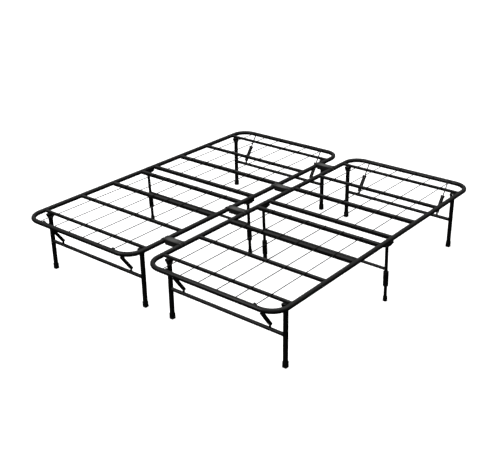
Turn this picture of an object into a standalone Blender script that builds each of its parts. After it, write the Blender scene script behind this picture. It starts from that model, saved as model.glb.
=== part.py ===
"""Folding metal bed frame for a king mattress.

Two identical narrow platforms stand side by side and are held together by four
clips over their inner rails.  Each platform is a bent tube rail in two U-shaped
sections, hinged at mid length, with welded crossbars, wires, two folding leg
frames and a leg stand under the fold.  Metres, +Z up.  The origin is on the
floor under the middle of the bed: +X is across it and +Y runs to the head.
"""
import bpy
import bmesh
from math import atan2, ceil, cos, pi, sin
from mathutils import Matrix, Vector

# Whole bed
RAIL_HEIGHT = 0.376         # floor to the axis of the rail tube
HALF_LENGTH = 1.0025        # middle of the bed to the axis of an end tube
PLATFORM_X = 0.490          # middle of the bed to the middle of one platform
PLATFORM_HALF = 0.430       # middle of a platform to the axis of its side rail
GAP = 0.0003                # air between two pieces that touch
TUBE_SIDES = 16             # facets round the big tubes
SMALL_SIDES = 12            # facets round thin tubes and rivets

# Bent tube rails
RAIL_RADIUS = 0.0140
CORNER_RADIUS = 0.098
RAIL_END = 0.001            # half of the gap between the two sections at the fold

# Crossbars and wires of the deck
BAR_DISTANCES = (0.866, 0.584, 0.315, 0.060)
BAR_SIZES = (0.016, 0.018, 0.022, 0.022)
BAR_TOP = 0.009             # flat top of every bar above the rail axis
WIRE_RADIUS = 0.0025
WIRE_COUNT = 6
WIRE_PITCH = 0.1215
WIRE_BITE = 0.0005          # depth that a wire sinks into a bar at its weld

# Fold hinge at mid length
FOLD_PIN_Y = 0.036
FOLD_PIN_DROP = 0.0145      # fold pin below the rail axis
FOLD_PIN_RADIUS = 0.003
FOLD_LUG_RADIUS = 0.0065
FOLD_LUG_HALF = 0.006
BRACKET_HALF_LENGTH = 0.042
BRACKET_SHOULDER = 0.014    # corner of a side plate below the rail axis
BRACKET_FLOOR_HALF = 0.024  # half length of the bracket's floor
BRACKET_WALL = 0.002
BRACKET_TOP = 0.004         # top edge of the bracket below the rail axis
BRACKET_BOTTOM = 0.0250     # underside of the bracket below the rail axis

# End leg frames
LEG_SIZE = 0.021
LEG_INSET = 0.044           # side rail axis to leg axis
LEG_PIN_DROP = 0.036        # leg pivot below the rail axis
LEG_PIN_RADIUS = 0.004
LEG_TIE_HEIGHT = 0.186
LEG_TIE_RADIUS = 0.0105
LEG_CHEEK_INSIDE = LEG_SIZE / 2 + 0.0005
LEG_CHEEK_OUTSIDE = LEG_CHEEK_INSIDE + 0.002
CAP_WALL = 0.0022
CAP_HEIGHT = 0.035
CAP_FLOOR = 0.0045

# Braces between each leg frame and its end tube
BRACE_X = 0.290             # middle of a platform to a brace
BRACE_PIN_INSET = 0.0195    # upper brace pivot inside the axis of the end tube
BRACE_PIN_RISE = 0.005      # and above it
BRACE_PIN_RADIUS = 0.0028
BRACE_TAB_HALF = 0.0045      # half thickness of the tab on a tie, which carries a brace
LINK_THICKNESS = 0.004
LINK_HALF_HEIGHT = 0.0042
LINK_LENGTH = 0.165
CHANNEL_LENGTH = 0.110
CHANNEL_HALF_WIDTH = 0.0092
CHANNEL_HALF_DEPTH = 0.0078
CHANNEL_START = 0.0043      # channel beyond its pivot, at the lower end
CHANNEL_WALL = 0.002

# Stand under the fold
STAND_RADIUS = 0.0095
STAND_TIE_HEIGHT = 0.205
STAND_TIE_RADIUS = 0.0095
STAND_FOOT_Y = 0.016        # the stand leans a little towards the head
SLEEVE_RADIUS = 0.0155
SLEEVE_LENGTH = 0.093
SLEEVE_BOTTOM = 0.098
SLEEVE_TRAVEL = 0.064
STAND_CAP_RADIUS = 0.0130
STAND_CAP_HEIGHT = 0.028

# Clips that join the two platforms
CLIP_POSITIONS = (-0.722, -0.178, 0.268, 0.740)
CLIP_NAMES = ("foot_end", "foot_middle", "head_middle", "head_end")
CLIP_HALF_LENGTH = 0.0225
CLIP_WALL = 0.0034
CLIP_TOP = 0.0151           # flat top of a clip above the rail axis
CLIP_SKIRT = 0.0165          # depth of a clip's front and back walls below the axis

# Black parts: powder-coated steel and moulded plastic
COLOURS = {
    "tube_steel": ((0.012, 0.012, 0.012), 0.42, 0.35),
    "bar_steel": ((0.016, 0.016, 0.016), 0.45, 0.35),
    "leg_steel": ((0.011, 0.011, 0.011), 0.44, 0.35),
    "brace_steel": ((0.014, 0.014, 0.014), 0.38, 0.5),
    "clip_plastic": ((0.035, 0.035, 0.033), 0.55, 0.0),
    "cap_plastic": ((0.006, 0.006, 0.006), 0.5, 0.0),
}


# ---------------------------------------------------------------- shape tools

def circle(radius, sides, centre=(0.0, 0.0)):
    """Points of a round outline."""
    turns = [2 * pi * i / sides for i in range(sides)]
    return [(centre[0] + radius * cos(t), centre[1] + radius * sin(t)) for t in turns]


def arc(centre, radius, start, end, steps):
    """Points along part of a circle, both ends included, angles in radians."""
    turns = [start + (end - start) * i / steps for i in range(steps + 1)]
    return [(centre[0] + radius * cos(t), centre[1] + radius * sin(t)) for t in turns]


def square(size, corner):
    """Outline of a square tube with its corners cut."""
    half = size / 2
    inner = half - corner
    return [(half, -inner), (half, inner), (inner, half), (-inner, half),
            (-half, inner), (-half, -inner), (-inner, -half), (inner, -half)]


def box_outline(low, high):
    """Outline of a rectangle from two opposite corners."""
    return [low, (high[0], low[1]), high, (low[0], high[1])]


def slot_outline(start, end, half_height, steps=4):
    """Outline of a flat strip with round ends, from one end centre to the other."""
    angle = atan2(end[1] - start[1], end[0] - start[0])
    far = arc(end, half_height, angle - pi / 2, angle + pi / 2, steps)
    near = arc(start, half_height, angle + pi / 2, angle + 3 * pi / 2, steps)
    return far + near


def prism(outline, start, end, axis="X"):
    """Closed solid: a flat outline pulled from start to end along an axis."""
    order = {"X": lambda u, v, w: (w, u, v),
             "Y": lambda u, v, w: (u, w, v),
             "Z": lambda u, v, w: (u, v, w)}[axis]
    solid = bmesh.new()
    rings = [[solid.verts.new(order(u, v, w)) for u, v in outline] for w in (start, end)]
    join_rings(solid, rings)
    cap_ends(solid, rings)
    return solid


def join_rings(solid, rings):
    """Skin between rings that follow one another."""
    for lower, upper in zip(rings, rings[1:]):
        for i, vertex in enumerate(lower):
            j = (i + 1) % len(lower)
            solid.faces.new((vertex, lower[j], upper[j], upper[i]))


def cap_ends(solid, rings):
    """Flat faces over the first and the last ring, and all faces turned out."""
    solid.faces.new(list(reversed(rings[0])))
    solid.faces.new(rings[-1])
    bmesh.ops.recalc_face_normals(solid, faces=solid.faces)


def sweep(path, section, up=(0.0, 0.0, 1.0)):
    """Closed solid: a section of (across, up) offsets carried along a flat path."""
    up = Vector(up)
    points = [Vector(point) for point in path]
    legs = [(b - a).normalized() for a, b in zip(points, points[1:])]
    solid = bmesh.new()
    rings = []
    for i, point in enumerate(points):
        before = legs[max(i - 1, 0)]
        after = legs[min(i, len(legs) - 1)]
        along = (before + after).normalized()
        across = along.cross(up)
        stretch = 1 / along.dot(after)
        ring = [point + across * a * stretch + up * b for a, b in section]
        rings.append([solid.verts.new(corner) for corner in ring])
    join_rings(solid, rings)
    cap_ends(solid, rings)
    return solid


def turned(profile, sides):
    """Closed ring: a closed outline of (radius, height) turned round the Z axis."""
    solid = bmesh.new()
    rings = []
    for i in range(sides):
        turn = 2 * pi * i / sides
        ring = [(r * cos(turn), r * sin(turn), z) for r, z in profile]
        rings.append([solid.verts.new(corner) for corner in ring])
    join_rings(solid, rings + rings[:1])
    bmesh.ops.recalc_face_normals(solid, faces=solid.faces)
    return solid


def scratch(solid):
    """Temporary object that holds one solid for a Boolean."""
    mesh = bpy.data.meshes.new("scratch")
    solid.to_mesh(mesh)
    solid.free()
    item = bpy.data.objects.new("scratch", mesh)
    bpy.context.scene.collection.objects.link(item)
    return item


def fuse(parts, cuts=()):
    """One mesh: the parts welded together, less the cuts."""
    base = scratch(parts[0])
    tools = []
    for operation, solids in (("UNION", parts[1:]), ("DIFFERENCE", cuts)):
        for solid in solids:
            tool = scratch(solid)
            weld = base.modifiers.new(operation, "BOOLEAN")
            weld.operation = operation
            weld.solver = "EXACT"
            weld.object = tool
            tools.append(tool)
    graph = bpy.context.evaluated_depsgraph_get()
    mesh = bpy.data.meshes.new_from_object(base.evaluated_get(graph))
    for item in [base] + tools:
        spare = item.data
        bpy.data.objects.remove(item)
        bpy.data.meshes.remove(spare)
    return mesh


# ------------------------------------------------------------------ placing

def world(item):
    """Place of an object or empty that is moved but never turned."""
    place = Vector(item.location)
    while item.parent:
        item = item.parent
        place += item.location
    return place


def axis(name, point, parent=None):
    """Empty on a joint's axis, which carries the pieces that move on it."""
    empty = bpy.data.objects.new(name, None)
    empty.empty_display_size = 0.03
    bpy.context.scene.collection.objects.link(empty)
    empty.parent = parent
    empty.location = Vector(point) - (world(parent) if parent else Vector())
    return empty


def material(name):
    """Principled material in one of the bed's finishes."""
    if name in bpy.data.materials:
        return bpy.data.materials[name]
    colour, roughness, metallic = COLOURS[name]
    finish = bpy.data.materials.new(name)
    finish.use_nodes = True
    shader = finish.node_tree.nodes["Principled BSDF"]
    shader.inputs["Base Color"].default_value = (*colour, 1.0)
    shader.inputs["Roughness"].default_value = roughness
    shader.inputs["Metallic"].default_value = metallic
    finish.diffuse_color = (*colour, 1.0)
    return finish


def put(name, mesh, finish, parent, place):
    """Named piece made from a mesh that is drawn about the given place."""
    if not mesh.materials:
        mesh.materials.append(material(finish))
        mesh.shade_smooth()
        mesh.set_sharp_from_angle(angle=pi / 6)
    item = bpy.data.objects.new(name, mesh)
    bpy.context.scene.collection.objects.link(item)
    item.parent = parent
    item.location = Vector(place) - world(parent)
    return item


# --------------------------------------------- meshes of one platform section
# Each is drawn about the middle of a platform.  The way is -1 for the section
# at the foot of the bed and +1 for the section at its head.

def lug(centre, radius, top, steps=5):
    """Outline of an ear that hangs from a tube: straight sides and a round end."""
    y, z = centre
    return [(y + radius, top)] + arc(centre, radius, 0, -pi, steps) + [(y - radius, top)]


def brace_points(way):
    """Pivots of a brace, as (y, z): on the end tube, on the leg frame."""
    leg = Vector((way * BAR_DISTANCES[0], RAIL_HEIGHT - LEG_PIN_DROP))
    upper = Vector((way * (HALF_LENGTH - BRACE_PIN_INSET), RAIL_HEIGHT + BRACE_PIN_RISE))
    lower = leg - Vector((0.0, (upper - leg).length))
    return upper, lower


def rail_mesh(way):
    """U-shaped bent tube with its fold ears and brace ears."""
    inner = PLATFORM_HALF - CORNER_RADIUS
    turn_y = HALF_LENGTH - CORNER_RADIUS
    left = arc((-inner, turn_y), CORNER_RADIUS, pi, pi / 2, 7)
    right = arc((inner, turn_y), CORNER_RADIUS, pi / 2, 0, 7)
    bends = [(-PLATFORM_HALF, RAIL_END)] + left + right + [(PLATFORM_HALF, RAIL_END)]
    path = [(x, way * y, RAIL_HEIGHT) for x, y in bends]
    parts = [sweep(path, circle(RAIL_RADIUS, TUBE_SIDES))]
    cuts = []

    fold_pin = (way * FOLD_PIN_Y, RAIL_HEIGHT - FOLD_PIN_DROP)
    ear = lug(fold_pin, FOLD_LUG_RADIUS, RAIL_HEIGHT - 0.005)
    for x in (-PLATFORM_HALF, PLATFORM_HALF):
        parts.append(prism(ear, x - FOLD_LUG_HALF, x + FOLD_LUG_HALF))
        hole = circle(FOLD_PIN_RADIUS + GAP, SMALL_SIDES, fold_pin)
        cuts.append(prism(hole, x - 0.02, x + 0.02))

    upper, lower = brace_points(way)
    tip = arc((0.0, 0.0), 0.006, pi / 2, 3 * pi / 2, 5) + [(0.011, -0.008), (0.011, 0.003)]
    ear = [(upper[0] + way * y, upper[1] + z) for y, z in tip]
    for x in (-BRACE_X, BRACE_X):
        face = x - LINK_THICKNESS / 2 - 0.0005
        parts.append(prism(ear, face - 0.003, face))
        hole = circle(BRACE_PIN_RADIUS + GAP, SMALL_SIDES, upper)
        cuts.append(prism(hole, face - 0.006, face + 0.003))
    return fuse(parts, cuts)


def leg_bracket(x, way):
    """Solids of the folded steel bracket that holds a leg under the end bar."""
    y = way * BAR_DISTANCES[0]
    pin = (y, RAIL_HEIGHT - LEG_PIN_DROP)
    web_top = RAIL_HEIGHT + BAR_TOP - BAR_SIZES[0] + 0.001
    web_bottom = web_top - 0.0035
    flare = 0.021
    rounded = arc(pin, 0.0105, -pi / 9, -8 * pi / 9, 6)
    cheek = [(y + flare, web_top), (y + flare, web_top - 0.009)] + rounded
    cheek += [(y - flare, web_top - 0.009), (y - flare, web_top)]
    web = box_outline((y - flare, web_bottom), (y + flare, web_top))
    solids = [prism(web, x - LEG_CHEEK_OUTSIDE, x + LEG_CHEEK_OUTSIDE),
              prism(cheek, x - LEG_CHEEK_OUTSIDE, x - LEG_CHEEK_INSIDE),
              prism(cheek, x + LEG_CHEEK_INSIDE, x + LEG_CHEEK_OUTSIDE)]
    holes = [prism(circle(LEG_PIN_RADIUS + GAP, SMALL_SIDES, pin), x - 0.02, x + 0.02)]
    return solids, holes


def crossbar(distance, size, top):
    """Solid of one square bar between the side rails."""
    reach = PLATFORM_HALF - RAIL_RADIUS - GAP
    height = RAIL_HEIGHT + top - size / 2
    return sweep([(x, distance, height) for x in (-reach, reach)], square(size, 0.0018))


def end_bar_mesh(way):
    """Crossbar nearest the end tube, with the two leg brackets under it."""
    top = BAR_TOP - WIRE_BITE - GAP
    parts = [crossbar(way * BAR_DISTANCES[0], BAR_SIZES[0], top)]
    cuts = []
    for x in (-PLATFORM_HALF + LEG_INSET, PLATFORM_HALF - LEG_INSET):
        solids, holes = leg_bracket(x, way)
        parts += solids
        cuts += holes
    return fuse(parts, cuts)


def slat_mesh(way):
    """Three crossbars and the six wires on top of them."""
    parts = []
    for distance, size in zip(BAR_DISTANCES[1:], BAR_SIZES[1:]):
        parts.append(crossbar(way * distance, size, BAR_TOP))

    wire_height = RAIL_HEIGHT + BAR_TOP + WIRE_RADIUS - WIRE_BITE
    drop = wire_height - WIRE_RADIUS - RAIL_HEIGHT
    wire_end = HALF_LENGTH - (RAIL_RADIUS ** 2 - drop ** 2) ** 0.5 - 0.0006
    wire_start = BAR_DISTANCES[-1] - BAR_SIZES[-1] / 2 + 0.0025
    for i in range(WIRE_COUNT):
        x = (i - (WIRE_COUNT - 1) / 2) * WIRE_PITCH
        ends = [(x, way * y, wire_height) for y in (wire_start, wire_end)]
        parts.append(sweep(ends, circle(WIRE_RADIUS, 6)))
    return fuse(parts)


def leg_frame_mesh(way):
    """Two square legs with their pivot rivets, the tie between them, brace tabs."""
    y = way * BAR_DISTANCES[0]
    pin = (y, RAIL_HEIGHT - LEG_PIN_DROP)
    leg_x = PLATFORM_HALF - LEG_INSET
    parts = []
    for x in (-leg_x, leg_x):
        ends = [(x, y, CAP_FLOOR + GAP), (x, y, pin[1] + 0.0095)]
        parts.append(sweep(ends, square(LEG_SIZE, 0.0022), up=(1.0, 0.0, 0.0)))
        head_inside = LEG_CHEEK_OUTSIDE + GAP
        head_outside = head_inside + 0.0022
        shank = circle(LEG_PIN_RADIUS, SMALL_SIDES, pin)
        parts.append(prism(shank, x - head_inside - 0.001, x + head_inside + 0.001))
        for side in (-1, 1):
            head = circle(0.0072, SMALL_SIDES, pin)
            parts.append(prism(head, x + side * head_inside, x + side * head_outside))
    tie_end = leg_x - LEG_SIZE / 2 + 0.004
    ends = [(x, y, LEG_TIE_HEIGHT) for x in (-tie_end, tie_end)]
    parts.append(sweep(ends, circle(LEG_TIE_RADIUS, SMALL_SIDES)))

    upper, lower = brace_points(way)
    tab = [(a, 2 * lower[1] - b) for a, b in lug(lower, 0.0045, 2 * lower[1] - LEG_TIE_HEIGHT)]
    cuts = []
    for x in (-BRACE_X, BRACE_X):
        parts.append(prism(tab, x - BRACE_TAB_HALF, x + BRACE_TAB_HALF))
        cuts.append(prism(circle(BRACE_PIN_RADIUS + GAP, SMALL_SIDES, lower), x - 0.01, x + 0.01))
    return fuse(parts, cuts)


def leg_cap_mesh(way):
    """Square plastic cap over the foot of a leg, drawn about the leg's axis."""
    outer = LEG_SIZE + 2 * (GAP + CAP_WALL)
    body = prism(square(outer, 0.003), 0.0, CAP_HEIGHT, "Z")
    well = prism(square(LEG_SIZE + 2 * GAP, 0.002), CAP_FLOOR, CAP_HEIGHT + 0.01, "Z")
    mesh = fuse([body], [well])
    mesh.transform(Matrix.Translation((0.0, way * BAR_DISTANCES[0], 0.0)))
    return mesh


def link_mesh(way):
    """Flat upper strip of a brace, hung from the end tube by its own rivet."""
    upper, lower = brace_points(way)
    end = upper + (lower - upper).normalized() * LINK_LENGTH
    half = LINK_THICKNESS / 2
    strip = prism(slot_outline(upper, end, LINK_HALF_HEIGHT), -half, half)
    eye = prism(circle(0.0058, SMALL_SIDES, upper), -half, half)
    pin = prism(circle(BRACE_PIN_RADIUS, SMALL_SIDES, upper), -half - 0.0045, 0.0)
    head = prism(circle(0.0050, SMALL_SIDES, upper), -half - 0.0058, -half - 0.0039)
    return fuse([strip, eye, pin, head])


def channel_mesh(way):
    """Lower brace: an open channel with a collar at its mouth and a rivet."""
    upper, lower = brace_points(way)
    along = (upper - lower).normalized()
    outer_side = -1 if Vector((0.0, *along)).cross(Vector((1.0, 0.0, 0.0))).z < 0 else 1

    def trough(start, end, inset, wall):
        """Channel between two distances along the brace, open on its lower side."""
        inner = CHANNEL_HALF_WIDTH - CHANNEL_WALL + inset
        outer = inner + wall
        top = outer_side * (CHANNEL_HALF_DEPTH - CHANNEL_WALL + inset)
        crown = top + outer_side * wall
        base = -outer_side * (CHANNEL_HALF_DEPTH - inset)
        section = [(base, -outer), (crown, -outer), (crown, outer),
                   (base, outer), (base, inner), (top, inner), (top, -inner), (base, -inner)]
        ends = [lower + along * start, lower + along * end]
        return sweep([(0.0, *point) for point in ends], section, up=(1.0, 0.0, 0.0))

    half_wall = CHANNEL_WALL / 2
    body = trough(-CHANNEL_START, CHANNEL_LENGTH, 0.0, CHANNEL_WALL)
    collar = trough(CHANNEL_LENGTH - 0.011, CHANNEL_LENGTH - 0.0005, half_wall, 0.0032)
    wide = CHANNEL_HALF_WIDTH + 0.0018
    pin = prism(circle(BRACE_PIN_RADIUS, SMALL_SIDES, lower), -wide, wide)
    return fuse([body, collar, pin])


# ------------------------------------------------------- meshes at the fold

def fold_bracket_mesh():
    """Channel bracket that both rail ends hinge in, with its four rivet heads."""
    inner = RAIL_RADIUS + 0.0006
    outer = inner + BRACKET_WALL
    top = RAIL_HEIGHT - BRACKET_TOP
    bottom = RAIL_HEIGHT - BRACKET_BOTTOM
    shoulder = RAIL_HEIGHT - BRACKET_SHOULDER
    plate = [(-BRACKET_FLOOR_HALF, bottom), (BRACKET_FLOOR_HALF, bottom),
             (BRACKET_HALF_LENGTH, shoulder), (BRACKET_HALF_LENGTH, top),
             (-BRACKET_HALF_LENGTH, top), (-BRACKET_HALF_LENGTH, shoulder)]
    floor = box_outline((-BRACKET_FLOOR_HALF, bottom), (BRACKET_FLOOR_HALF, bottom + 0.0022))
    parts = [prism(floor, -outer, outer), prism(plate, -outer, -inner), prism(plate, inner, outer)]
    for y in (-FOLD_PIN_Y, FOLD_PIN_Y):
        centre = (y, RAIL_HEIGHT - FOLD_PIN_DROP)
        pin_end = inner + BRACKET_WALL / 2
        parts.append(prism(circle(FOLD_PIN_RADIUS, SMALL_SIDES, centre), -pin_end, pin_end))
        for side in (-1, 1):
            head = circle(0.0055, SMALL_SIDES, centre)
            parts.append(prism(head, side * (outer - 0.0006), side * (outer + 0.0018)))
    return fuse(parts)


def stand_line(height):
    """Y of the leaning stand at a height above the floor."""
    top = RAIL_HEIGHT - BRACKET_BOTTOM
    return STAND_FOOT_Y * (1 - height / top)


def stand_mesh():
    """Two thin legs and the tie between them."""
    top = RAIL_HEIGHT - BRACKET_BOTTOM - 0.0008
    parts = []
    for x in (-PLATFORM_HALF, PLATFORM_HALF):
        ends = [(x, stand_line(z), z) for z in (0.0048, top)]
        parts.append(sweep(ends, circle(STAND_RADIUS, SMALL_SIDES), up=(1.0, 0.0, 0.0)))
    tie_end = PLATFORM_HALF - STAND_RADIUS + 0.003
    y = stand_line(STAND_TIE_HEIGHT)
    ends = [(x, y, STAND_TIE_HEIGHT) for x in (-tie_end, tie_end)]
    parts.append(sweep(ends, circle(STAND_TIE_RADIUS, SMALL_SIDES)))
    return fuse(parts)


def sleeve_mesh():
    """Thick sliding sleeve on a stand leg, drawn about its own middle."""
    half = SLEEVE_LENGTH / 2
    bore = STAND_RADIUS + 0.0004
    easing = [(SLEEVE_RADIUS - 0.0035 + 0.0035 * sin(t), half - 0.0045 + 0.0045 * cos(t))
              for t in (0.0, pi / 4, pi / 2)]
    lower = [(r, -z) for r, z in reversed(easing)]
    profile = [(bore, half)] + easing + lower + [(bore, -half)]
    solid = turned(profile, TUBE_SIDES)
    mesh = bpy.data.meshes.new("sleeve")
    solid.to_mesh(mesh)
    solid.free()
    lean = atan2(STAND_FOOT_Y, RAIL_HEIGHT - BRACKET_BOTTOM)
    mesh.transform(Matrix.Rotation(lean, 4, "X"))
    return mesh


def stand_cap_mesh():
    """Round plastic cap over the foot of a stand leg, drawn about the foot."""
    body = prism(circle(STAND_CAP_RADIUS, TUBE_SIDES), 0.0, STAND_CAP_HEIGHT, "Z")
    well = prism(circle(STAND_RADIUS + 0.0012, TUBE_SIDES), 0.004, STAND_CAP_HEIGHT + 0.01, "Z")
    return fuse([body], [well])


def clip_mesh():
    """Moulded bridge over both inner rails, with two fingers over each rail."""
    rail_x = PLATFORM_X - PLATFORM_HALF
    bore = RAIL_RADIUS + 0.0004
    shell = bore + CLIP_WALL
    skirt = -CLIP_SKIRT
    lip = atan2(-0.002, shell)
    start = atan2(CLIP_TOP, -(shell ** 2 - CLIP_TOP ** 2) ** 0.5)
    steps = ceil((start - lip) / 0.28)
    over = arc((rail_x, 0.0), shell, start, lip, steps)
    under = arc((rail_x, 0.0), bore, atan2(-0.002, bore), pi, steps)
    inner_x = rail_x - bore
    right = over + under + [(inner_x, skirt)]
    left = [(-x, z) for x, z in reversed(right)]
    length = (-CLIP_HALF_LENGTH, CLIP_HALF_LENGTH)
    body = prism(right + left, *length, "Y")

    pocket_x = inner_x - CLIP_WALL
    pocket = box_outline((-pocket_x, skirt - 0.01), (pocket_x, CLIP_TOP - CLIP_WALL))
    end = CLIP_HALF_LENGTH - CLIP_WALL
    cuts = [prism(pocket, -end, end, "Y")]
    for side in (-1, 1):
        near, far = sorted((side * (rail_x + 0.001), side * (rail_x + 0.03)))
        notch = box_outline((near, -0.01), (far, 0.03))
        cuts.append(prism(notch, -0.0085, 0.0085, "Y"))
    mesh = fuse([body], cuts)
    mesh.transform(Matrix.Translation((0.0, 0.0, RAIL_HEIGHT)))
    return mesh


# -------------------------------------------------------------------- the bed

for old in list(bpy.data.objects):
    bpy.data.objects.remove(old)

fold_height = RAIL_HEIGHT - FOLD_PIN_DROP
bracket = fold_bracket_mesh()
stand = stand_mesh()
sleeve = sleeve_mesh()
stand_cap = stand_cap_mesh()
clip = clip_mesh()

foot_decks = axis("foot_decks", (0.0, 0.0, RAIL_HEIGHT))
section_decks = {}
for side, sign in (("left", -1), ("right", 1)):
    centre = sign * PLATFORM_X
    stand_axis = axis(f"stand_axis_{side}", (centre, -FOLD_PIN_Y, fold_height), foot_decks)
    head_axis = axis(f"head_deck_axis_{side}", (centre, FOLD_PIN_Y, fold_height), stand_axis)
    section_decks[side] = {"foot": foot_decks, "head": head_axis}
    put(f"centre_stand_{side}", stand, "leg_steel", stand_axis, (centre, 0.0, 0.0))
    for place, turn in (("outer", sign), ("inner", -sign)):
        x = centre + turn * PLATFORM_HALF
        put(f"fold_bracket_{side}_{place}", bracket, "bar_steel", stand_axis, (x, 0.0, 0.0))
        put(f"stand_cap_{side}_{place}", stand_cap, "cap_plastic", stand_axis,
            (x, stand_line(STAND_CAP_HEIGHT / 2), 0.0))
        lowered = SLEEVE_TRAVEL if (side, place) == ("right", "inner") else 0.0
        height = SLEEVE_BOTTOM + SLEEVE_LENGTH / 2 - lowered
        slide = axis(f"sleeve_axis_{side}_{place}", (x, stand_line(height), height), stand_axis)
        put(f"stand_sleeve_{side}_{place}", sleeve, "leg_steel", slide,
            (x, stand_line(height), height))

for section, way in (("foot", -1), ("head", 1)):
    upper, lower = brace_points(way)
    leg_pin = (way * BAR_DISTANCES[0], RAIL_HEIGHT - LEG_PIN_DROP)
    rail = rail_mesh(way)
    end_bar = end_bar_mesh(way)
    slats = slat_mesh(way)
    leg_frame = leg_frame_mesh(way)
    leg_cap = leg_cap_mesh(way)
    link = link_mesh(way)
    channel = channel_mesh(way)
    for side, sign in (("left", -1), ("right", 1)):
        centre = sign * PLATFORM_X
        deck = section_decks[side][section]
        where = f"{side}_{section}"
        middle = (centre, 0.0, 0.0)
        leg_axis = axis(f"leg_axis_{where}", (centre, *leg_pin), deck)
        link_axis = axis(f"brace_link_axis_{where}", (centre, *upper), deck)
        channel_axis = axis(f"brace_channel_axis_{where}", (centre, *lower), leg_axis)
        put(f"rail_{where}", rail, "tube_steel", deck, middle)
        put(f"end_bar_{where}", end_bar, "bar_steel", deck, middle)
        put(f"slats_{where}", slats, "bar_steel", deck, middle)
        put(f"leg_frame_{where}", leg_frame, "leg_steel", leg_axis, middle)
        for place, turn in (("outer", sign), ("inner", -sign)):
            leg_x = centre + turn * (PLATFORM_HALF - LEG_INSET)
            brace_x = centre + turn * BRACE_X
            put(f"leg_cap_{where}_{place}", leg_cap, "cap_plastic", leg_axis, (leg_x, 0.0, 0.0))
            put(f"brace_link_{where}_{place}", link, "brace_steel", link_axis,
                (brace_x, 0.0, 0.0))
            put(f"brace_channel_{where}_{place}", channel, "brace_steel", channel_axis,
                (brace_x, 0.0, 0.0))

for name, y in zip(CLIP_NAMES, CLIP_POSITIONS):
    lift = axis(f"clip_axis_{name}", (0.0, y, RAIL_HEIGHT))
    put(f"rail_clip_{name}", clip, "clip_plastic", lift, (0.0, y, 0.0))
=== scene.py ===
from math import atan2, cos, pi, sin, sqrt

import bmesh
import bpy
from mathutils import Matrix, Vector


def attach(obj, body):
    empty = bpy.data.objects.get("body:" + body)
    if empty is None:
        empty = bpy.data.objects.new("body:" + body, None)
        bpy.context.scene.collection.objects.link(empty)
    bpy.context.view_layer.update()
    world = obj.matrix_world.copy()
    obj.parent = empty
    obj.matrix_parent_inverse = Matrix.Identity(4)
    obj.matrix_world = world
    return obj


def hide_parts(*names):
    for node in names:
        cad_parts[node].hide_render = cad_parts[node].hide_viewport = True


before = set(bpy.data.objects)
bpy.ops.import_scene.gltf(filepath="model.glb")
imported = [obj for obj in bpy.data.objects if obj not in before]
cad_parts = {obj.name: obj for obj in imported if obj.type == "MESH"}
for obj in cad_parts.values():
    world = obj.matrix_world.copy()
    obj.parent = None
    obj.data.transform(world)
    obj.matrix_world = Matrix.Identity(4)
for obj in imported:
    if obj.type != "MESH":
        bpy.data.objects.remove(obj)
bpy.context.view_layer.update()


# ------------------------------------------------------------ bent tube rails
# Each platform's edge is 28 mm steel tube, bent into a U for the foot and a
# U for the head and powder coated black.  The ends at the fold are open tube.
# Small ears for the fold pins and the brace rivets are welded on.

RAIL_HEIGHT = 0.376
PLATFORM_X = 0.490
PLATFORM_HALF = 0.430
HALF_LENGTH = 1.0025
RAIL_RADIUS = 0.0140
RAIL_WALL = 0.0014
RAIL_END = 0.001
CORNER_RADIUS = 0.098
FOLD_PIN = (0.036, RAIL_HEIGHT - 0.0145)
BRACE_PIN = (HALF_LENGTH - 0.0195, RAIL_HEIGHT + 0.005)
BRACE_X = 0.290
FOLD_EAR_RADIUS = 0.0065
FOLD_EAR_HALF = 0.006
BRACE_EAR = 0.003
WELD_GAP = 0.0003
SIDES = (("left", -1), ("right", 1))
SECTIONS = (("foot", -1), ("head", 1))


class Shade:
    """A shader socket; arithmetic on it adds Math nodes to its material."""

    def __init__(self, tree, socket=None):
        self.tree = tree
        self.socket = socket

    def set(self, socket, value):
        if isinstance(value, Shade):
            self.tree.links.new(value.socket, socket)
        else:
            socket.default_value = value

    def node(self, kind, settings, sockets, output=0):
        """Output of a new node, with its settings made before its sockets."""
        made = self.tree.nodes.new(kind)
        for name, value in settings.items():
            if name == "stops":
                for stop, (place, grey) in zip(made.color_ramp.elements, value):
                    stop.position = place
                    stop.color = (grey, grey, grey, 1.0)
            else:
                setattr(made, name, value)
        for name, value in sockets.items():
            self.set(made.inputs[name], value)
        return Shade(self.tree, made.outputs[output])

    def maths(self, operation, first, second):
        return self.node("ShaderNodeMath", {"operation": operation}, {0: first, 1: second})

    def __add__(self, other):
        return self.maths("ADD", self, other)

    def __radd__(self, other):
        return self.maths("ADD", other, self)

    def __sub__(self, other):
        return self.maths("SUBTRACT", self, other)

    def __rsub__(self, other):
        return self.maths("SUBTRACT", other, self)

    def __mul__(self, other):
        return self.maths("MULTIPLY", self, other)

    def __rmul__(self, other):
        return self.maths("MULTIPLY", other, self)

    def __gt__(self, other):
        return self.maths("GREATER_THAN", self, other)

    def tint(self, low, high):
        """Colour between two greys or colours, with this value as the share."""
        return self.node("ShaderNodeMix", {"data_type": "RGBA"},
                         {0: self, 6: (*low, 1.0), 7: (*high, 1.0)}, 2)


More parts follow.
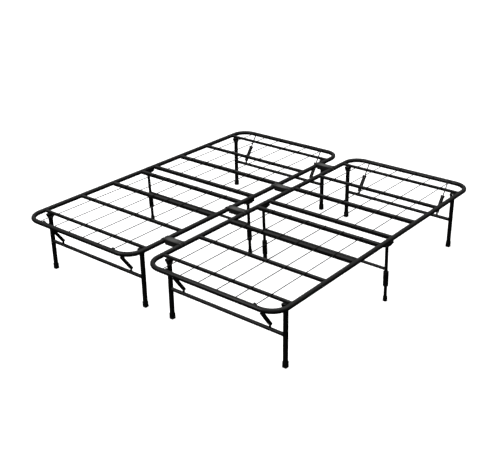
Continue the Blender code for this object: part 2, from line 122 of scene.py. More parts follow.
def powder_coat(name, black, worn, roughness, gloss=0.2, peel=0.00012):
    """Black powder coat: orange peel, cloudy gloss, dust on top and a few chips."""
    finish = bpy.data.materials.new(name)
    finish.use_nodes = True
    tree = finish.node_tree
    shader = tree.nodes["Principled BSDF"]
    start = Shade(tree)
    place = start.node("ShaderNodeTexCoord", {}, {}, "Object")
    facing = start.node("ShaderNodeNewGeometry", {}, {}, "Normal")
    upward = start.node("ShaderNodeSeparateXYZ", {}, {0: facing}, 2)
    cloud = start.node("ShaderNodeTexNoise", {}, {"Vector": place, "Scale": 7.0, "Detail": 4.0})
    speck = start.node("ShaderNodeTexNoise", {}, {"Vector": place, "Scale": 160.0, "Detail": 3.0})
    grain = start.node("ShaderNodeTexNoise", {}, {"Vector": place, "Scale": 620.0, "Detail": 2.0})
    chips = start.node("ShaderNodeTexVoronoi", {}, {"Vector": place, "Scale": 55.0})
    above = start.node("ShaderNodeValToRGB", {"stops": ((0.55, 0.0), (0.95, 1.0))}, {0: upward})
    dust = above * cloud * 0.55
    chip = (0.5 - chips * 12.0 > 0.0) * (cloud > 0.55)
    base = (speck * 0.35 + cloud * 0.3 + dust * 0.6).tint(black, worn)
    colour = start.node("ShaderNodeMix", {"data_type": "RGBA"},
                        {0: chip * 0.7, 6: base, 7: (0.16, 0.155, 0.15, 1.0)}, 2)
    start.set(shader.inputs["Base Color"], colour)
    start.set(shader.inputs["Roughness"], cloud * 0.16 + speck * 0.08 + dust * 0.15 + (roughness - 0.12))
    start.set(shader.inputs["Metallic"], chip * 0.5)
    shader.inputs["Specular IOR Level"].default_value = gloss
    height = grain * 0.8 + speck * 0.5 - chip * 0.6
    bump = start.node("ShaderNodeBump", {}, {"Strength": 0.5, "Distance": peel, "Height": height})
    start.set(shader.inputs["Normal"], bump)
    return finish


def piece(name, shape, finish, body, slot, *nodes, crease=0.6):
    """Object made from a bmesh, riding on a body and standing for CAD nodes."""
    bmesh.ops.recalc_face_normals(shape, faces=shape.faces)
    mesh = bpy.data.meshes.new(name)
    shape.to_mesh(mesh)
    shape.free()
    mesh.shade_smooth()
    mesh.set_sharp_from_angle(angle=crease)
    mesh.materials.append(finish)
    item = bpy.data.objects.new(name, mesh)
    bpy.context.scene.collection.objects.link(item)
    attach(item, body)
    if nodes:
        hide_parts(*nodes)
    return item


def skin(shape, rings, ends=True, loop=False):
    """Faces between rings of points that follow one another."""
    rows = [[shape.verts.new(point) for point in ring] for ring in rings]
    for lower, upper in zip(rows, rows[1:] + rows[:1] if loop else rows[1:]):
        for i, corner in enumerate(lower):
            j = (i + 1) % len(lower)
            shape.faces.new((corner, lower[j], upper[j], upper[i]))
    if ends and not loop:
        shape.faces.new(rows[0])
        shape.faces.new(list(reversed(rows[-1])))
    return rows


def round_outline(radius, sides=32):
    return [(radius * cos(2 * pi * i / sides), radius * sin(2 * pi * i / sides))
            for i in range(sides)]


def along(path, outline, up=(0.0, 0.0, 1.0), swell=None, loop=False):
    """Rings of an outline carried along a flat path, with mitred turns."""
    up = Vector(up)
    points = [Vector(point) for point in path]
    count = len(points)
    rings = []
    for i, point in enumerate(points):
        back = points[i] - points[i - 1] if i or loop else points[1] - points[0]
        ahead = points[(i + 1) % count] - points[i] if i < count - 1 or loop else back
        if not i and not loop:
            back = ahead
        direction = (back.normalized() + ahead.normalized()).normalized()
        across = direction.cross(up).normalized()
        over = across.cross(direction).normalized()
        stretch = 1 / max(direction.dot(ahead.normalized()), 0.5)
        size = swell(i) if swell else 1.0
        rings.append([point + across * a * stretch * size + over * b * size for a, b in outline])
    return rings


def bent_tube(shape, path, radius, wall, depth=0.03, sides=32):
    """Hollow tube with open ends: the bore goes a little way in and is closed there."""
    rings = along(path, round_outline(radius, sides))
    bore = round_outline(radius - wall, sides)
    first = (Vector(path[0]), (Vector(path[1]) - Vector(path[0])).normalized())
    last = (Vector(path[-1]), (Vector(path[-2]) - Vector(path[-1])).normalized())
    inside = along([first[0], first[0] + first[1] * depth], bore)
    outside = along([last[0] + last[1] * depth, last[0]], bore)
    skin(shape, [inside[1], inside[0]] + rings + [outside[1], outside[0]])


def bevelled(shape, outline, low, high, width=0.0005, place=lambda u, v, w: (w, u, v)):
    """Plate with eased edges: an outline pulled from low to high."""
    plate = bmesh.new()
    skin(plate, [[place(u, v, w) for u, v in outline] for w in (low, high)])
    bmesh.ops.recalc_face_normals(plate, faces=plate.faces)
    sharp = [edge for edge in plate.edges if edge.calc_face_angle() > 0.7]
    bmesh.ops.bevel(plate, geom=sharp, offset=width, segments=2, profile=0.6, affect="EDGES")
    spare = bpy.data.meshes.new("spare")
    plate.to_mesh(spare)
    plate.free()
    shape.from_mesh(spare)
    bpy.data.meshes.remove(spare)


def arc(centre, radius, start, end, steps):
    return [(centre[0] + radius * cos(start + (end - start) * i / steps),
             centre[1] + radius * sin(start + (end - start) * i / steps))
            for i in range(steps + 1)]


def bead(shape, path, radius=0.0013, loop=False):
    """Weld bead: a thin cord of overlapping ripples laid along a path."""
    fine = []
    pairs = list(zip(path, path[1:] + path[:1] if loop else path[1:]))
    for a, b in pairs:
        a, b = Vector(a), Vector(b)
        steps = max(2, round((b - a).length / 0.0009))
        fine += [a.lerp(b, i / steps) for i in range(steps)]
    if not loop:
        fine.append(Vector(path[-1]))
    middle = sum(fine, Vector()) / len(fine)
    normal = Vector((0.0, 0.0, 1.0))
    if len(fine) > 2:
        turn = (fine[0] - middle).cross(fine[len(fine) // 4 + 1] - middle)
        normal = turn.normalized() if turn.length > 1e-9 else normal
    if abs((fine[1] - fine[0]).normalized().dot(normal)) > 0.9:
        normal = Vector((1.0, 0.0, 0.0))
    ripple = lambda i: 1.0 + 0.16 * sin(i * 2.1)
    skin(shape, along(fine, round_outline(radius, 6), normal, ripple, loop), loop=loop)


tube_coat = powder_coat("tube_powder_coat", (0.0017, 0.0017, 0.0017), (0.009, 0.009, 0.0088), 0.36)
weld_coat = powder_coat("weld_powder_coat", (0.0018, 0.0018, 0.0018), (0.011, 0.011, 0.0105), 0.36, 0.24)

for section, way in SECTIONS:
    for side, sign in SIDES:
        middle = sign * PLATFORM_X
        where = f"{side}_{section}"
        deck = "foot_decks" if section == "foot" else f"head_deck_{side}"
        inner = PLATFORM_HALF - CORNER_RADIUS
        turn_y = HALF_LENGTH - CORNER_RADIUS
        bends = [(-PLATFORM_HALF, RAIL_END)]
        bends += arc((-inner, turn_y), CORNER_RADIUS, pi, pi / 2, 16)
        bends += arc((inner, turn_y), CORNER_RADIUS, pi / 2, 0, 16)
        bends += [(PLATFORM_HALF, RAIL_END)]
        rail = bmesh.new()
        bent_tube(rail, [(middle + x, way * y, RAIL_HEIGHT) for x, y in bends], RAIL_RADIUS, RAIL_WALL)
        pin_y, pin_z = way * FOLD_PIN[0], FOLD_PIN[1]
        ear = [(pin_y + FOLD_EAR_RADIUS, RAIL_HEIGHT - 0.008)]
        ear += arc((pin_y, pin_z), FOLD_EAR_RADIUS, 0, -pi, 14)
        ear += [(pin_y - FOLD_EAR_RADIUS, RAIL_HEIGHT - 0.008)]
        welds = bmesh.new()
        for x in (middle - PLATFORM_HALF, middle + PLATFORM_HALF):
            bevelled(rail, ear, x - FOLD_EAR_HALF, x + FOLD_EAR_HALF)
        for x in (middle - BRACE_X, middle + BRACE_X):
            face = x - 0.0025
            tip = arc((0.0, 0.0), 0.006, pi / 2, 3 * pi / 2, 12) + [(0.011, -0.008), (0.011, 0.003)]
            ear = [(way * (BRACE_PIN[0] + y), BRACE_PIN[1] + z) for y, z in tip]
            bevelled(rail, ear, face - BRACE_EAR, face, 0.0003)
            for edge in (face - BRACE_EAR, face):
                foot = []
                for z in (-0.004, -0.001, 0.002, 0.005, 0.007):
                    inset = sqrt((RAIL_RADIUS + WELD_GAP) ** 2 - z * z)
                    foot.append((edge, way * (HALF_LENGTH - inset), RAIL_HEIGHT + z))
                bead(welds, foot, 0.0009)
        piece(f"rail_tube_{where}", rail, tube_coat, deck, "tube_steel", f"rail_{where}")
        piece(f"rail_ear_welds_{where}", welds, weld_coat, deck, "tube_steel")


# ------------------------------------------------------------- crossbars
# Square steel bars cut to fit between the side rails and welded to them all
# round.  The two nearest the fold are 22 mm, the next 18 mm, the last 16 mm.  The bar
# nearest the end carries two folded brackets for the legs.

BAR_TOP = 0.009
END_BAR_TOP = 0.0082
BARS = ((0.866, 0.016, END_BAR_TOP), (0.584, 0.018, BAR_TOP), (0.315, 0.022, BAR_TOP),
        (0.060, 0.022, BAR_TOP))
LEG_X = PLATFORM_HALF - 0.044
LEG_PIN = (0.866, RAIL_HEIGHT - 0.036)
CHEEK_INSIDE = 0.0110
CHEEK_OUTSIDE = 0.0130
CHEEK_RADIUS = 0.0105
BRACKET_HALF = 0.021
BRACKET_SHOULDER = 0.009
WEB_THICKNESS = 0.0026


def square_outline(size, corner=0.0022, steps=3):
    """Outline of a square tube with round corners."""
    half = size / 2 - corner
    outline = []
    for i, (x, y) in enumerate(((half, half), (-half, half), (-half, -half), (half, -half))):
        outline += arc((x, y), corner, i * pi / 2, (i + 1) * pi / 2, steps)
    return outline


bar_coat = powder_coat("bar_powder_coat", (0.0021, 0.0021, 0.0021), (0.012, 0.012, 0.0117), 0.40, 0.22)


def crossbar(shape, welds, middle, y, size, top):
    """One bar, with the bead that runs round each of its ends on the rail."""
    reach = PLATFORM_HALF - RAIL_RADIUS - 0.0002
    z = RAIL_HEIGHT + top - size / 2
    skin(shape, along([(middle - reach, y, z), (middle + reach, y, z)], square_outline(size)))
    for turn in (-1, 1):
        ring = []
        for a, b in square_outline(size + 0.0006, 0.002, 1):
            rise = min(max(z + b - RAIL_HEIGHT, 0.0008 - RAIL_RADIUS), RAIL_RADIUS - 0.0008)
            edge = PLATFORM_HALF - sqrt((RAIL_RADIUS + WELD_GAP) ** 2 - rise ** 2)
            ring.append((middle + turn * edge, y + a, RAIL_HEIGHT + rise))
        bead(welds, ring, 0.0012, loop=True)


for section, way in SECTIONS:
    for side, sign in SIDES:
        middle = sign * PLATFORM_X
        where = f"{side}_{section}"
        deck = "foot_decks" if section == "foot" else f"head_deck_{side}"
        welds = bmesh.new()
        end_bar = bmesh.new()
        crossbar(end_bar, welds, middle, way * BARS[0][0], *BARS[0][1:])
        y, z = way * LEG_PIN[0], LEG_PIN[1]
        web_top = RAIL_HEIGHT + BAR_TOP - BARS[0][1] - 0.0008
        low, high = y - BRACKET_HALF, y + BRACKET_HALF
        cheek = [(high, web_top), (high, web_top - BRACKET_SHOULDER)]
        cheek += arc((y, z), CHEEK_RADIUS, -pi / 9, -8 * pi / 9, 14)
        cheek += [(low, web_top - BRACKET_SHOULDER), (low, web_top)]
        web = [(low, web_top - WEB_THICKNESS), (high, web_top - WEB_THICKNESS),
               (high, web_top), (low, web_top)]
        for x in (middle - LEG_X, middle + LEG_X):
            bevelled(end_bar, web, x - CHEEK_OUTSIDE, x + CHEEK_OUTSIDE, 0.0008)
            bevelled(end_bar, cheek, x - CHEEK_OUTSIDE, x - CHEEK_INSIDE, 0.0006)
            bevelled(end_bar, cheek, x + CHEEK_INSIDE, x + CHEEK_OUTSIDE, 0.0006)
            for turn in (-1, 1):
                line = [(x + a, y + turn * 0.0078, web_top + 0.0006) for a in (-0.012, 0.012)]
                bead(welds, line, 0.0012)
        piece(f"end_bar_and_brackets_{where}", end_bar, bar_coat, deck, "bar_steel", f"end_bar_{where}")
        deck_bars = bmesh.new()
        for distance, size, top in BARS[1:]:
            crossbar(deck_bars, welds, middle, way * distance, size, top)
        piece(f"crossbars_{where}", deck_bars, bar_coat, deck, "bar_steel", f"slats_{where}")
        piece(f"crossbar_welds_{where}", welds, weld_coat, deck, "bar_steel")


# ------------------------------------------------------------------ wires
# Six straight drawn wires per section lie on the bars and end on top of the
# end tube.  Each is resistance welded at every bar, which leaves a small flat
# nugget, and coated together with the bars.

WIRE_RADIUS = 0.0025
WIRE_HEIGHT = RAIL_HEIGHT + BAR_TOP + WIRE_RADIUS - 0.0005
WIRE_START = 0.0515
WIRE_XS = [(i - 2.5) * 0.1215 for i in range(6)]


def nugget(shape, centre, size):
    """Low rounded weld nugget."""
    made = bmesh.ops.create_icosphere(shape, subdivisions=1, radius=1.0)["verts"]
    for vertex in made:
        vertex.co = Vector(centre) + Vector([a * b for a, b in zip(vertex.co, size)])


wire_coat = powder_coat("wire_powder_coat", (0.002, 0.002, 0.002), (0.010, 0.010, 0.0098), 0.45, 0.12)
drop = WIRE_HEIGHT - WIRE_RADIUS - RAIL_HEIGHT
wire_end = HALF_LENGTH - sqrt(RAIL_RADIUS ** 2 - drop ** 2) + 0.0012
for section, way in SECTIONS:
    for side, sign in SIDES:
        wires = bmesh.new()
        for x in WIRE_XS:
            x += sign * PLATFORM_X
            stops = (WIRE_START, 0.0522, wire_end - 0.0006, wire_end)
            line = [(x, way * y, WIRE_HEIGHT) for y in stops]
            narrow = lambda i: (0.75, 1.0, 1.0, 0.75)[i]
            skin(wires, along(line, round_outline(WIRE_RADIUS, 12), swell=narrow))
            for distance, size, top in BARS:
                nugget(wires, (x, way * distance, RAIL_HEIGHT + top + 0.0008), (0.0030, 0.0042, 0.0013))
            nugget(wires, (x, way * (wire_end - 0.0004), WIRE_HEIGHT - 0.001), (0.0030, 0.0034, 0.0024))
        deck = "foot_decks" if section == "foot" else f"head_deck_{side}"
        piece(f"deck_wires_{side}_{section}", wires, wire_coat, deck, "bar_steel", crease=1.2)


# ------------------------------------------------------------- leg frames
# Two 21 mm square tube legs with a round tie welded between them.  A rivet
# through each bracket lets the frame fold flat under the deck, and two flat
# tabs on the tie carry the braces.

LEG_SIZE = 0.021
TIE_HEIGHT = 0.186
TIE_RADIUS = 0.0105
TIE_WELD_RADIUS = 0.0107
TAB_HALF = 0.0045
TAB_RADIUS = 0.0045
FOLD_ARM = sqrt((BRACE_PIN[0] - LEG_PIN[0]) ** 2 + (BRACE_PIN[1] - LEG_PIN[1]) ** 2)
TAB_PIN = (LEG_PIN[0], LEG_PIN[1] - FOLD_ARM)


def rivet(shape, centre, radius, height, turn):
    """Domed rivet head that stands on a face across X."""
    x, y, z = centre
    rings = []
    for share in (0.0, 0.35, 0.65, 0.85, 0.97):
        r = radius * sqrt(1 - share ** 2 * 0.94) if share else radius
        rings.append([(x + turn * height * share, y + r * cos(t), z + r * sin(t))
                      for t in [2 * pi * i / 20 for i in range(20)]])
    skin(shape, rings)


leg_coat = powder_coat("leg_powder_coat", (0.0017, 0.0017, 0.0017), (0.009, 0.009, 0.0088), 0.40)
rivet_steel = powder_coat("blackened_rivets", (0.006, 0.006, 0.006), (0.035, 0.034, 0.033), 0.34, 0.5)

for section, way in SECTIONS:
    for side, sign in SIDES:
        middle = sign * PLATFORM_X
        where = f"{side}_{section}"
        y, z = way * LEG_PIN[0], LEG_PIN[1]
        legs = bmesh.new()
        welds = bmesh.new()
        rivets = bmesh.new()
        for x in (middle - LEG_X, middle + LEG_X):
            line = [(x, y, 0.0048), (x, y, z + 0.0088), (x, y, z + 0.0095)]
            draw_in = lambda i: (1.0, 1.0, 0.95)[i]
            skin(legs, along(line, square_outline(LEG_SIZE, 0.0026), up=(1.0, 0.0, 0.0), swell=draw_in))
            for turn in (-1, 1):
                rivet(rivets, (x + turn * (CHEEK_OUTSIDE + 0.0003), y, z), 0.0072, 0.0022, turn)
            inside = LEG_X - LEG_SIZE / 2
            turn = 1 if x < middle else -1
            edge = middle - turn * (inside - 0.0002)
            ring = [(edge, y + a, TIE_HEIGHT + b) for a, b in round_outline(TIE_WELD_RADIUS, 16)]
            bead(welds, ring, 0.0013, loop=True)
        tie = [(middle - inside, y, TIE_HEIGHT), (middle + inside, y, TIE_HEIGHT)]
        skin(legs, along(tie, round_outline(TIE_RADIUS, 28)))
        tab_y, tab_z = way * TAB_PIN[0], TAB_PIN[1]
        tab = [(tab_y - TAB_RADIUS, TIE_HEIGHT)] + arc((tab_y, tab_z), TAB_RADIUS, pi, 0, 12)
        tab += [(tab_y + TAB_RADIUS, TIE_HEIGHT)]
        rise = TIE_HEIGHT + TIE_RADIUS
        for x in (middle - BRACE_X, middle + BRACE_X):
            bevelled(legs, tab, x - TAB_HALF, x + TAB_HALF, 0.0006)
            for turn in (-1, 1):
                edge = x + turn * (TAB_HALF + 0.0002)
                line = [(edge, y + a, rise - a * a * 48) for a in (-0.0042, 0.0, 0.0042)]
                bead(welds, line, 0.001)
        body = f"legs_{where}"
        piece(f"leg_tubes_{where}", legs, leg_coat, body, "leg_steel", f"leg_frame_{where}")
        piece(f"leg_welds_{where}", welds, weld_coat, body, "leg_steel")
        piece(f"leg_rivets_{where}", rivets, rivet_steel, body, "leg_steel")


# -------------------------------------------------------------- foot caps
# Black moulded plastic caps pushed over the legs: square on the leg frames,
# round on the stands.  They have a rolled lip, shallow grip ribs and a
# chamfered sole, and their lower edge is scuffed and dusty.

SQUARE_CAP = LEG_SIZE + 0.005
SQUARE_CAP_HEIGHT = 0.035
ROUND_CAP = 0.0130
ROUND_CAP_HEIGHT = 0.028
STAND_TOP = RAIL_HEIGHT - 0.025


def moulded(name, black, pale, roughness, grain_scale, gloss, dusty=0.1):
    """Moulded plastic: fine spark grain, flow marks, dust on flat tops, scuffs near the floor."""
    finish = bpy.data.materials.new(name)
    finish.use_nodes = True
    tree = finish.node_tree
    shader = tree.nodes["Principled BSDF"]
    start = Shade(tree)
    place = start.node("ShaderNodeTexCoord", {}, {}, "Object")
    height = start.node("ShaderNodeSeparateXYZ", {}, {0: place}, 2)
    facing = start.node("ShaderNodeNewGeometry", {}, {}, "Normal")
    upward = start.node("ShaderNodeSeparateXYZ", {}, {0: facing}, 2)
    grain = start.node("ShaderNodeTexNoise", {}, {"Vector": place, "Scale": grain_scale, "Detail": 3.0})
    flow = start.node("ShaderNodeTexNoise", {"noise_dimensions": "3D"},
                      {"Vector": place, "Scale": 22.0, "Detail": 5.0})
    low = start.node("ShaderNodeValToRGB", {"stops": ((0.0, 1.0), (0.02, 0.0))}, {0: height})
    scuff = low * (flow * 2.0 - 0.6)
    above = start.node("ShaderNodeValToRGB", {"stops": ((0.97, 0.0), (0.995, 1.0))}, {0: upward})
    worn = flow * 0.16 + grain * 0.1 + scuff * 0.5 + above * (flow * 0.5 + 0.75) * dusty
    start.set(shader.inputs["Base Color"], worn.tint(black, pale))
    start.set(shader.inputs["Roughness"], grain * 0.14 + flow * 0.1 + (roughness - 0.12))
    shader.inputs["Specular IOR Level"].default_value = gloss
    bump = start.node("ShaderNodeBump", {}, {"Strength": 0.45, "Distance": 0.00015, "Height": grain})
    start.set(shader.inputs["Normal"], bump)
    return finish


def cap_rings(outline, height):
    """Rings of a cap from its sole to its lip, and down inside the lip."""
    steps = ((0.0, 0.86), (0.0008, 0.94), (0.0024, 1.0), (0.007, 0.985), (0.0082, 1.0),
             (0.0105, 1.0), (0.0118, 0.985), (0.0130, 1.0), (0.0153, 1.0), (0.0166, 0.985),
             (height - 0.0035, 0.985), (height - 0.0027, 1.0), (height - 0.0007, 1.0),
             (height, 0.97), (height, 0.86), (height - 0.003, 0.845))
    return [[(x * share, y * share, z) for x, y in outline] for z, share in steps]


cap_plastic = moulded("cap_plastic_black", (0.0015, 0.0015, 0.0015), (0.011, 0.011, 0.0105),
                      0.55, 700.0, 0.22)

for section, way in SECTIONS:
    for side, sign in SIDES:
        for place, turn in (("outer", sign), ("inner", -sign)):
            x = sign * PLATFORM_X + turn * LEG_X
            shape = bmesh.new()
            skin(shape, cap_rings(square_outline(SQUARE_CAP, 0.0035, 4), SQUARE_CAP_HEIGHT))
            bmesh.ops.translate(shape, vec=(x, way * LEG_PIN[0], 0.0), verts=shape.verts)
            where = f"{side}_{section}"
            piece(f"square_cap_{where}_{place}", shape, cap_plastic, f"legs_{where}", "cap_plastic",
                  f"leg_cap_{where}_{place}", crease=0.9)


# --------------------------------------------------- stands under the fold
# Two 19 mm round legs and a tie, welded under the fold brackets.  Each leg
# carries a thick steel sleeve that slides; one of them has been let down.

STAND_RADIUS = 0.0095
STAND_TIE = 0.205
STAND_TIE_RADIUS = 0.0090
STAND_FOOT_Y = 0.016
STAND_WELD_RADIUS = 0.0099
STAND_TIE_WELD = 0.0090
SLEEVE_RADIUS = 0.0155
SLEEVE_BORE = 0.0099
SLEEVE_HALF = 0.0465
SLEEVE_MIDDLE = 0.098 + SLEEVE_HALF
SLEEVE_DROP = 0.064


def stand_y(z):
    """Y of the leaning stand at a height."""
    return STAND_FOOT_Y * (1 - z / STAND_TOP)


for side, sign in SIDES:
    stand = bmesh.new()
    welds = bmesh.new()
    middle = sign * PLATFORM_X
    body = f"stand_{side}"
    for place, turn in (("outer", sign), ("inner", -sign)):
        x = middle + turn * PLATFORM_HALF
        line = [(x, stand_y(z), z) for z in (0.005, STAND_TOP - 0.0006)]
        skin(stand, along(line, round_outline(STAND_RADIUS, 28), up=(1.0, 0.0, 0.0)))
        ring = [(x + a, stand_y(STAND_TOP) + b, STAND_TOP - 0.0008)
                for a, b in round_outline(STAND_WELD_RADIUS, 20)]
        bead(welds, ring, 0.0013, loop=True)
        ring = []
        for a, b in round_outline(STAND_TIE_WELD, 20):
            edge = sqrt((STAND_RADIUS + WELD_GAP) ** 2 - a * a)
            ring.append((x - turn * edge, stand_y(STAND_TIE) + a, STAND_TIE + b))
        bead(welds, ring, 0.0011, loop=True)
        cap = bmesh.new()
        skin(cap, cap_rings(round_outline(ROUND_CAP, 32), ROUND_CAP_HEIGHT))
        bmesh.ops.translate(cap, vec=(x, stand_y(ROUND_CAP_HEIGHT / 2), 0.0), verts=cap.verts)
        piece(f"round_cap_{side}_{place}", cap, cap_plastic, body, "cap_plastic",
              f"stand_cap_{side}_{place}", crease=0.9)
        drop = SLEEVE_DROP if (side, place) == ("right", "inner") else 0.0
        sleeve = bmesh.new()
        lip = [(SLEEVE_RADIUS - 0.002 + 0.002 * sin(t), SLEEVE_HALF - 0.0025 + 0.0025 * cos(t))
               for t in [pi / 2 * i / 6 for i in range(7)]]
        groove = [(SLEEVE_RADIUS, 0.036), (SLEEVE_RADIUS - 0.0006, 0.0353),
                  (SLEEVE_RADIUS - 0.0006, 0.0343), (SLEEVE_RADIUS, 0.0336)]
        half = [(SLEEVE_BORE, SLEEVE_HALF - 0.0005), (0.0105, SLEEVE_HALF)] + lip + groove
        profile = half + [(r, -h) for r, h in reversed(half)]
        skin(sleeve, [[(a, b, h) for a, b in round_outline(r, 32)] for r, h in profile], loop=True)
        height = SLEEVE_MIDDLE - drop
        lean = Matrix.Rotation(atan2(STAND_FOOT_Y, STAND_TOP), 4, "X")
        sleeve.transform(Matrix.Translation((x, stand_y(height), height)) @ lean)
        piece(f"sliding_sleeve_{side}_{place}", sleeve, leg_coat, f"sleeve_{side}_{place}", "leg_steel",
              f"stand_sleeve_{side}_{place}")
    tie = [(middle + a, stand_y(STAND_TIE), STAND_TIE) for a in (-PLATFORM_HALF, PLATFORM_HALF)]
    skin(stand, along(tie, round_outline(STAND_TIE_RADIUS, 28)))
    piece(f"stand_tubes_{side}", stand, leg_coat, body, "leg_steel", f"centre_stand_{side}")
    piece(f"stand_welds_{side}", welds, weld_coat, body, "leg_steel")


# ------------------------------------------------- fold brackets and braces
# Brackets are pressed from 2 mm sheet, with two shouldered rivets as fold
# pins.  Braces are a flat strip that slides in a folded channel.

def eased(name, node, finish, body, slot, width):
    """Copy of a CAD piece whose pressed edges are rounded."""
    shape = bmesh.new()
    shape.from_mesh(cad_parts[node].data)
    bmesh.ops.remove_doubles(shape, verts=shape.verts, dist=0.00001)
    bmesh.ops.dissolve_limit(shape, angle_limit=0.02, verts=shape.verts, edges=shape.edges)
    sharp = [edge for edge in shape.edges if edge.is_manifold and edge.calc_face_angle() > 0.75]
    bmesh.ops.bevel(shape, geom=sharp, offset=width, segments=2, profile=0.5, affect="EDGES",
                    clamp_overlap=True)
    return piece(name, shape, finish, body, slot, node, crease=0.7)


FOLD_RIVET_FACE = 0.0183
BRACE_RIVET_FACE = 0.0102

sheet_coat = powder_coat("sheet_powder_coat", (0.0019, 0.0019, 0.0019), (0.011, 0.011, 0.0107), 0.37, 0.22)

for side, sign in SIDES:
    for place, turn in (("outer", sign), ("inner", -sign)):
        x = sign * PLATFORM_X + turn * PLATFORM_HALF
        body = f"stand_{side}"
        eased(f"pressed_fold_bracket_{side}_{place}", f"fold_bracket_{side}_{place}", sheet_coat, body,
              "bar_steel", 0.0004)
        rivets = bmesh.new()
        for y in (-FOLD_PIN[0], FOLD_PIN[0]):
            for face in (-1, 1):
                head = (x + face * FOLD_RIVET_FACE, y, FOLD_PIN[1])
                rivet(rivets, head, 0.0050, 0.0018, face)
        piece(f"fold_rivets_{side}_{place}", rivets, rivet_steel, body, "bar_steel")
        for section, way in SECTIONS:
            where = f"{side}_{section}"
            eased(f"brace_strip_{where}_{place}", f"brace_link_{where}_{place}", sheet_coat,
                  f"brace_links_{where}", "brace_steel", 0.0003)
            eased(f"brace_trough_{where}_{place}", f"brace_channel_{where}_{place}", sheet_coat,
                  f"brace_channels_{where}", "brace_steel", 0.0004)
            rivets = bmesh.new()
            x_brace = sign * PLATFORM_X + turn * BRACE_X
            for face in (-1, 1):
                head = (x_brace + face * BRACE_RIVET_FACE, way * TAB_PIN[0], TAB_PIN[1])
                rivet(rivets, head, 0.0043, 0.0018, face)
            piece(f"brace_rivets_{where}_{place}", rivets, rivet_steel, f"brace_channels_{where}",
                  "brace_steel")


# ------------------------------------------------------------------ clips
# Four moulded charcoal plastic bridges snap over both inner rails and hold
# the platforms together.  The flat top is finely grained, and ribs run under
# it between the two walls.

CLIPS = (("foot_end", -0.722), ("foot_middle", -0.178), ("head_middle", 0.268), ("head_end", 0.740))
RIB_HALF = 0.0009
RIB_REACH = 0.0430
RIB_TOP = RAIL_HEIGHT + 0.0121
RIB_FOOT = RAIL_HEIGHT - 0.006

clip_plastic = moulded("clip_plastic_charcoal", (0.0025, 0.0025, 0.0024), (0.085, 0.085, 0.082),
                       0.5, 900.0, 0.2, dusty=0.7)
for name, y in CLIPS:
    eased(f"moulded_clip_{name}", f"rail_clip_{name}", clip_plastic, f"clip_{name}", "clip_plastic", 0.0007)
    ribs = bmesh.new()
    for offset in (-0.0125, 0.0, 0.0125):
        rib = [(-RIB_REACH, RIB_TOP), (RIB_REACH, RIB_TOP), (RIB_REACH, RIB_FOOT),
               (0.034, RAIL_HEIGHT + 0.004), (-0.034, RAIL_HEIGHT + 0.004), (-RIB_REACH, RIB_FOOT)]
        bevelled(ribs, rib, y + offset - RIB_HALF, y + offset + RIB_HALF, 0.0003,
                 lambda u, v, w: (u, w, v))
    piece(f"clip_ribs_{name}", ribs, clip_plastic, f"clip_{name}", "clip_plastic")


# ------------------------------------------------------- floor, light, camera
# The bed stands on a plain pale floor inside a white shell, under two large
# soft lamps and a sky that is bright overhead and dark at the horizon.

FLOOR_SIZE = 120.0
BACKDROP_RADIUS = 55.0
CAMERA_PLACE = (3.0175, -3.7569, 2.4199)
CAMERA_YAW = 0.68424
CAMERA_PITCH = 0.43692
CAMERA_ROLL = 0.012279
CAMERA_LENS = 860.68 / 500 * 36

sheet = bmesh.new()
bmesh.ops.create_grid(sheet, x_segments=1, y_segments=1, size=FLOOR_SIZE / 2)
floor_mesh = bpy.data.meshes.new("studio_floor")
sheet.to_mesh(floor_mesh)
sheet.free()
floor_paint = bpy.data.materials.new("floor_paint")
floor_paint.use_nodes = True
floor_shader = floor_paint.node_tree.nodes["Principled BSDF"]
floor_shader.inputs["Base Color"].default_value = (0.93, 0.93, 0.93, 1.0)
floor_shader.inputs["Roughness"].default_value = 0.9
floor_shader.inputs["Specular IOR Level"].default_value = 0.0
floor_shader.inputs["Emission Color"].default_value = (1.0, 1.0, 1.0, 1.0)
floor_shader.inputs["Emission Strength"].default_value = 0.45
floor_mesh.materials.append(floor_paint)
floor = bpy.data.objects.new("studio_floor", floor_mesh)
bpy.context.scene.collection.objects.link(floor)
floor.visible_glossy = False
floor.visible_diffuse = False
shell = bmesh.new()
bmesh.ops.create_icosphere(shell, subdivisions=4, radius=BACKDROP_RADIUS)
backdrop_mesh = bpy.data.meshes.new("studio_backdrop")
shell.to_mesh(backdrop_mesh)
shell.free()
backdrop_paint = bpy.data.materials.new("backdrop_paint")
backdrop_paint.use_nodes = True
backdrop_shader = backdrop_paint.node_tree.nodes["Principled BSDF"]
backdrop_shader.inputs["Base Color"].default_value = (0.0, 0.0, 0.0, 1.0)
backdrop_shader.inputs["Specular IOR Level"].default_value = 0.0
backdrop_shader.inputs["Emission Color"].default_value = (1.0, 1.0, 1.0, 1.0)
backdrop_shader.inputs["Emission Strength"].default_value = 1.0
backdrop_mesh.materials.append(backdrop_paint)
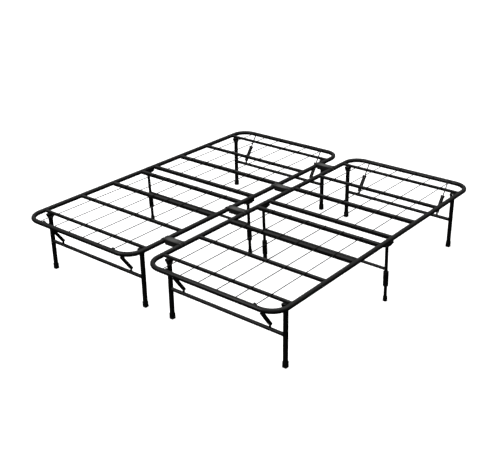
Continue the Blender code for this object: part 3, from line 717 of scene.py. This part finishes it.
backdrop = bpy.data.objects.new("studio_backdrop", backdrop_mesh)
bpy.context.scene.collection.objects.link(backdrop)
backdrop.visible_glossy = False
backdrop.visible_diffuse = False
backdrop.visible_shadow = False

world = bpy.data.worlds.new("studio")
world.use_nodes = True
bpy.context.scene.world = world
sky = Shade(world.node_tree)
ray = sky.node("ShaderNodeTexCoord", {}, {}, "Generated")
rise = sky.node("ShaderNodeSeparateXYZ", {}, {0: ray}, 2)
dome = sky.node("ShaderNodeValToRGB", {"stops": ((0.5, 0.01), (1.0, 1.0))}, {0: rise * 0.5 + 0.5})
sky.set(world.node_tree.nodes["Background"].inputs["Color"], dome)
world.node_tree.nodes["Background"].inputs["Strength"].default_value = 1.1

for name, place, size, power in (("key_softbox", (-2.5, -5.0, 4.5), 2.5, 190.0),
                                 ("top_softbox", (0.5, 1.0, 5.5), 4.0, 110.0)):
    lamp = bpy.data.lights.new(name, "AREA")
    lamp.shape = "SQUARE"
    lamp.size = size
    lamp.energy = power
    item = bpy.data.objects.new(name, lamp)
    item.location = place
    item.rotation_mode = "QUATERNION"
    item.rotation_quaternion = (Vector((0.0, 0.0, 0.2)) - item.location).to_track_quat("-Z", "Y")
    bpy.context.scene.collection.objects.link(item)

forward = Vector((-sin(CAMERA_YAW) * cos(CAMERA_PITCH), cos(CAMERA_YAW) * cos(CAMERA_PITCH),
                  -sin(CAMERA_PITCH)))
level = Vector((cos(CAMERA_YAW), sin(CAMERA_YAW), 0.0))
down = forward.cross(level)
across = level * cos(CAMERA_ROLL) + down * sin(CAMERA_ROLL)
below = down * cos(CAMERA_ROLL) - level * sin(CAMERA_ROLL)
optics = bpy.data.cameras.new("camera")
optics.sensor_width = 36.0
optics.lens = CAMERA_LENS
optics.clip_end = 200.0
camera = bpy.data.objects.new("camera", optics)
turned = Matrix((across, -below, -forward)).transposed().to_4x4()
camera.matrix_world = Matrix.Translation(CAMERA_PLACE) @ turned
bpy.context.scene.collection.objects.link(camera)
bpy.context.scene.camera = camera
bpy.context.scene.view_settings.view_transform = "Standard"
